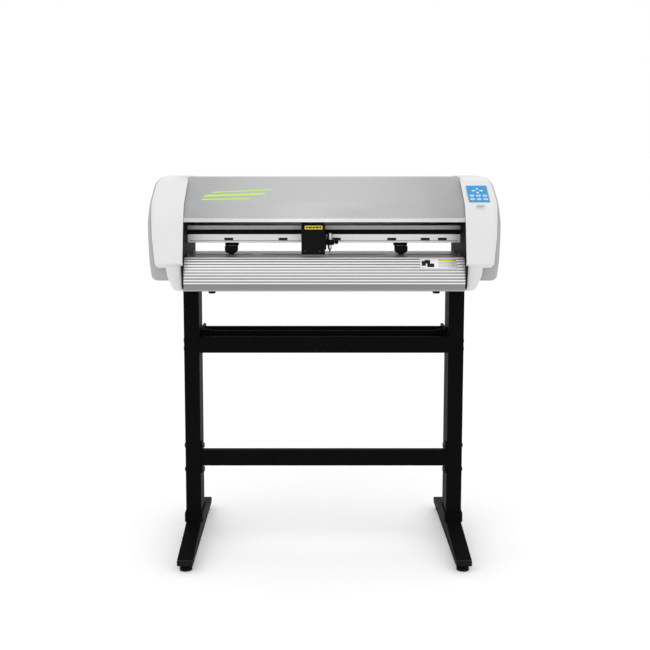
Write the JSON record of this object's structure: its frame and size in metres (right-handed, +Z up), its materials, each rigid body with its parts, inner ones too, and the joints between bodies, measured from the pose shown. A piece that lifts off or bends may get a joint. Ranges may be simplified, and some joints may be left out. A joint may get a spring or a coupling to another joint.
{
  "type": "vinyl cutting plotter on stand",
  "caption": "Roll-fed vinyl cutter with sliding tool carriage, pinch rollers, grit feed roller, end covers and keypad, on a black two-post stand with roll rods.",
  "frame": {"origin": "on the floor, midway between the posts and midway between the front and back ends of the feet", "axes": "+X to the operator's right along the machine, +Y away from the operator, +Z up"},
  "size_m": [0.928, 0.465, 1.018],
  "materials": {
    "stand_black": "satin black powder coat",
    "trim_black": "fine moulded grain",
    "rubber_black": "matt",
    "cover_white": "smooth satin moulding",
    "cover_silver": "silver lacquer",
    "bare_aluminium": "satin anodised extrusion",
    "frame_dark": "dark grey paint",
    "sheet_steel": "grey primer",
    "steel": "ground",
    "grit_steel": "knurled grit",
    "motor_black": "satin",
    "belt_rubber": "toothed, matt",
    "pulley_aluminium": "turned",
    "board_green": "solder mask",
    "supply_case": "folded sheet",
    "carriage_black": "fine moulded grain",
    "tool_metal": "turned and knurled",
    "keypad_blue": "printed membrane",
    "key_white": "printed membrane"
  },
  "bodies": {
    "machine_and_stand": {"apron": "bare_aluminium", "base_tray": "sheet_steel", "carriage_belt": "belt_rubber", "carriage_motor": "motor_black", "control_board": "board_green", "feed_belt": "belt_rubber", "feed_motor": "motor_black", "foot_end_caps": "trim_black", "guide_rail": "bare_aluminium", "keypad": "keypad_blue", "left_end_cover": "cover_white", "left_foot": "stand_black", "left_post": "stand_black", "lower_crossbeam": "stand_black", "machine_feet": "rubber_black", "platen": "bare_aluminium", "power_inlet": "trim_black", "power_supply": "supply_case", "rear_guide": "bare_aluminium", "right_end_cover": "cover_white", "right_foot": "stand_black", "right_post": "stand_black", "rod_brackets": "stand_black", "shaft_bearings": "steel", "side_frames": "frame_dark", "stand_bolts": "steel", "top_cover": "cover_silver", "upper_crossbeam": "stand_black"},
    "front_left_glide": {"glide_front_left": "rubber_black"},
    "front_right_glide": {"glide_front_right": "rubber_black"},
    "rear_left_glide": {"glide_rear_left": "rubber_black"},
    "rear_right_glide": {"glide_rear_right": "rubber_black"},
    "front_rod": {"media_rod_front": "stand_black"},
    "rear_rod": {"media_rod_rear": "stand_black"},
    "feed_roller": {"feed_shaft": "steel", "grit_wheels": "grit_steel"},
    "feed_drive": {"feed_motor_pulley": "pulley_aluminium"},
    "carriage": {"carriage_body": "carriage_black"},
    "carriage_drive": {"carriage_motor_pulley": "pulley_aluminium"},
    "belt_idler": {"idler_pulley": "pulley_aluminium"},
    "tool": {"tool_clamp": "carriage_black", "blade_holder": "tool_metal"},
    "tool_knob": {"clamp_knob": "trim_black"},
    "left_pinch_slider": {"left_pinch_block": "trim_black"},
    "left_pinch_lever": {"left_pinch_arm": "trim_black"},
    "left_pinch_roller": {"left_pinch_wheel": "rubber_black"},
    "right_pinch_slider": {"right_pinch_block": "trim_black"},
    "right_pinch_lever": {"right_pinch_arm": "trim_black"},
    "right_pinch_roller": {"right_pinch_wheel": "rubber_black"},
    "power_rocker": {"power_switch": "trim_black"},
    "up_key": {"key_up": "key_white"},
    "down_key": {"key_down": "key_white"},
    "left_key": {"key_left": "key_white"},
    "right_key": {"key_right": "key_white"},
    "size_key": {"key_size": "key_white"},
    "set_key": {"key_set": "key_white"},
    "speed_key": {"key_speed": "key_white"},
    "origin_key": {"key_origin": "key_white"},
    "test_key": {"key_test": "key_white"},
    "enter_key": {"key_enter": "key_white"}
  },
  "joints": [
    {"name": "front_left_glide_turn", "type": "hinge", "parent": "machine_and_stand", "child": "front_left_glide", "pos_m": [-0.361, -0.2105, 0.017], "axis": [0, 0, 1], "continuous": true},
    {"name": "front_right_glide_turn", "type": "hinge", "parent": "machine_and_stand", "child": "front_right_glide", "pos_m": [0.361, -0.2105, 0.017], "axis": [0, 0, 1], "continuous": true},
    {"name": "rear_left_glide_turn", "type": "hinge", "parent": "machine_and_stand", "child": "rear_left_glide", "pos_m": [-0.361, 0.2105, 0.017], "axis": [0, 0, 1], "continuous": true},
    {"name": "rear_right_glide_turn", "type": "hinge", "parent": "machine_and_stand", "child": "rear_right_glide", "pos_m": [0.361, 0.2105, 0.017], "axis": [0, 0, 1], "continuous": true},
    {"name": "front_rod_spin", "type": "hinge", "parent": "machine_and_stand", "child": "front_rod", "pos_m": [0, 0.005, 0.583], "axis": [1, 0, 0], "continuous": true},
    {"name": "rear_rod_spin", "type": "hinge", "parent": "machine_and_stand", "child": "rear_rod", "pos_m": [0, 0.075, 0.583], "axis": [1, 0, 0], "continuous": true},
    {"name": "feed_roller_spin", "type": "hinge", "parent": "machine_and_stand", "child": "feed_roller", "pos_m": [0, -0.036, 0.797], "axis": [1, 0, 0], "continuous": true},
    {"name": "feed_motor_spin", "type": "hinge", "parent": "machine_and_stand", "child": "feed_drive", "pos_m": [0.378, 0.03, 0.761], "axis": [1, 0, 0], "continuous": true},
    {"name": "carriage_travel", "type": "slide", "parent": "machine_and_stand", "child": "carriage", "axis": [1, 0, 0], "range_m": [-0.298, 0.32]},
    {"name": "carriage_drive_spin", "type": "hinge", "parent": "machine_and_stand", "child": "carriage_drive", "pos_m": [-0.4, -0.0365, 0.87], "axis": [0, 0, 1], "range_deg": [-2160, 2160]},
    {"name": "belt_idler_spin", "type": "hinge", "parent": "machine_and_stand", "child": "belt_idler", "pos_m": [0.39, -0.0365, 0.87], "axis": [0, 0, 1], "range_deg": [-2160, 2160]},
    {"name": "tool_drop", "type": "slide", "parent": "carriage", "child": "tool", "axis": [0, 0, -1], "range_m": [0, 0.0062], "stiffness_N_per_m": 150, "springref_m": -0.02},
    {"name": "tool_knob_turn", "type": "hinge", "parent": "tool", "child": "tool_knob", "pos_m": [0.027, -0.077, 0.845], "axis": [1, 0, 0], "range_deg": [0, 720]},
    {"name": "left_pinch_travel", "type": "slide", "parent": "machine_and_stand", "child": "left_pinch_slider", "axis": [1, 0, 0], "range_m": [-0.085, 0.21]},
    {"name": "left_pinch_lift", "type": "hinge", "parent": "left_pinch_slider", "child": "left_pinch_lever", "pos_m": [-0.25, -0.012, 0.824], "axis": [-1, 0, 0], "range_deg": [0, 8], "stiffness_Nm_per_rad": 2, "springref_deg": -17.19},
    {"name": "left_pinch_spin", "type": "hinge", "parent": "left_pinch_lever", "child": "left_pinch_roller", "pos_m": [-0.25, -0.036, 0.8166], "axis": [1, 0, 0], "continuous": true},
    {"name": "right_pinch_travel", "type": "slide", "parent": "machine_and_stand", "child": "right_pinch_slider", "axis": [1, 0, 0], "range_m": [-0.168, 0.13]},
    {"name": "right_pinch_lift", "type": "hinge", "parent": "right_pinch_slider", "child": "right_pinch_lever", "pos_m": [0.208, -0.012, 0.824], "axis": [-1, 0, 0], "range_deg": [0, 8], "stiffness_Nm_per_rad": 2, "springref_deg": -17.19},
    {"name": "right_pinch_spin", "type": "hinge", "parent": "right_pinch_lever", "child": "right_pinch_roller", "pos_m": [0.208, -0.036, 0.8166], "axis": [1, 0, 0], "continuous": true},
    {"name": "power_rocker_tilt", "type": "hinge", "parent": "machine_and_stand", "child": "power_rocker", "pos_m": [-0.415, 0.114, 0.85], "axis": [-1, 0, 0], "range_deg": [0, 16]},
    {"name": "up_key_press", "type": "slide", "parent": "machine_and_stand", "child": "up_key", "axis": [0, 0.5482, -0.8364], "range_m": [0, 0.0006], "stiffness_N_per_m": 800, "springref_m": -0.0005},
    {"name": "down_key_press", "type": "slide", "parent": "machine_and_stand", "child": "down_key", "axis": [0, 0.5482, -0.8364], "range_m": [0, 0.0006], "stiffness_N_per_m": 800, "springref_m": -0.0005},
    {"name": "left_key_press", "type": "slide", "parent": "machine_and_stand", "child": "left_key", "axis": [0, 0.5482, -0.8364], "range_m": [0, 0.0006], "stiffness_N_per_m": 800, "springref_m": -0.0005},
    {"name": "right_key_press", "type": "slide", "parent": "machine_and_stand", "child": "right_key", "axis": [0, 0.5482, -0.8364], "range_m": [0, 0.0006], "stiffness_N_per_m": 800, "springref_m": -0.0005},
    {"name": "size_key_press", "type": "slide", "parent": "machine_and_stand", "child": "size_key", "axis": [0, 0.5482, -0.8364], "range_m": [0, 0.0006], "stiffness_N_per_m": 800, "springref_m": -0.0005},
    {"name": "set_key_press", "type": "slide", "parent": "machine_and_stand", "child": "set_key", "axis": [0, 0.5482, -0.8364], "range_m": [0, 0.0006], "stiffness_N_per_m": 800, "springref_m": -0.0005},
    {"name": "speed_key_press", "type": "slide", "parent": "machine_and_stand", "child": "speed_key", "axis": [0, 0.5482, -0.8364], "range_m": [0, 0.0006], "stiffness_N_per_m": 800, "springref_m": -0.0005},
    {"name": "origin_key_press", "type": "slide", "parent": "machine_and_stand", "child": "origin_key", "axis": [0, 0.5482, -0.8364], "range_m": [0, 0.0006], "stiffness_N_per_m": 800, "springref_m": -0.0005},
    {"name": "test_key_press", "type": "slide", "parent": "machine_and_stand", "child": "test_key", "axis": [0, 0.5482, -0.8364], "range_m": [0, 0.0006], "stiffness_N_per_m": 800, "springref_m": -0.0005},
    {"name": "enter_key_press", "type": "slide", "parent": "machine_and_stand", "child": "enter_key", "axis": [0, 0.5482, -0.8364], "range_m": [0, 0.0006], "stiffness_N_per_m": 800, "springref_m": -0.0005}
  ],
  "couplings": [
    {"joint": "feed_motor_spin", "follows": "feed_roller_spin", "ratio": 2.768},
    {"joint": "carriage_drive_spin", "follows": "carriage_travel", "rad_per_m": 112.36},
    {"joint": "belt_idler_spin", "follows": "carriage_travel", "rad_per_m": 112.36}
  ]
}
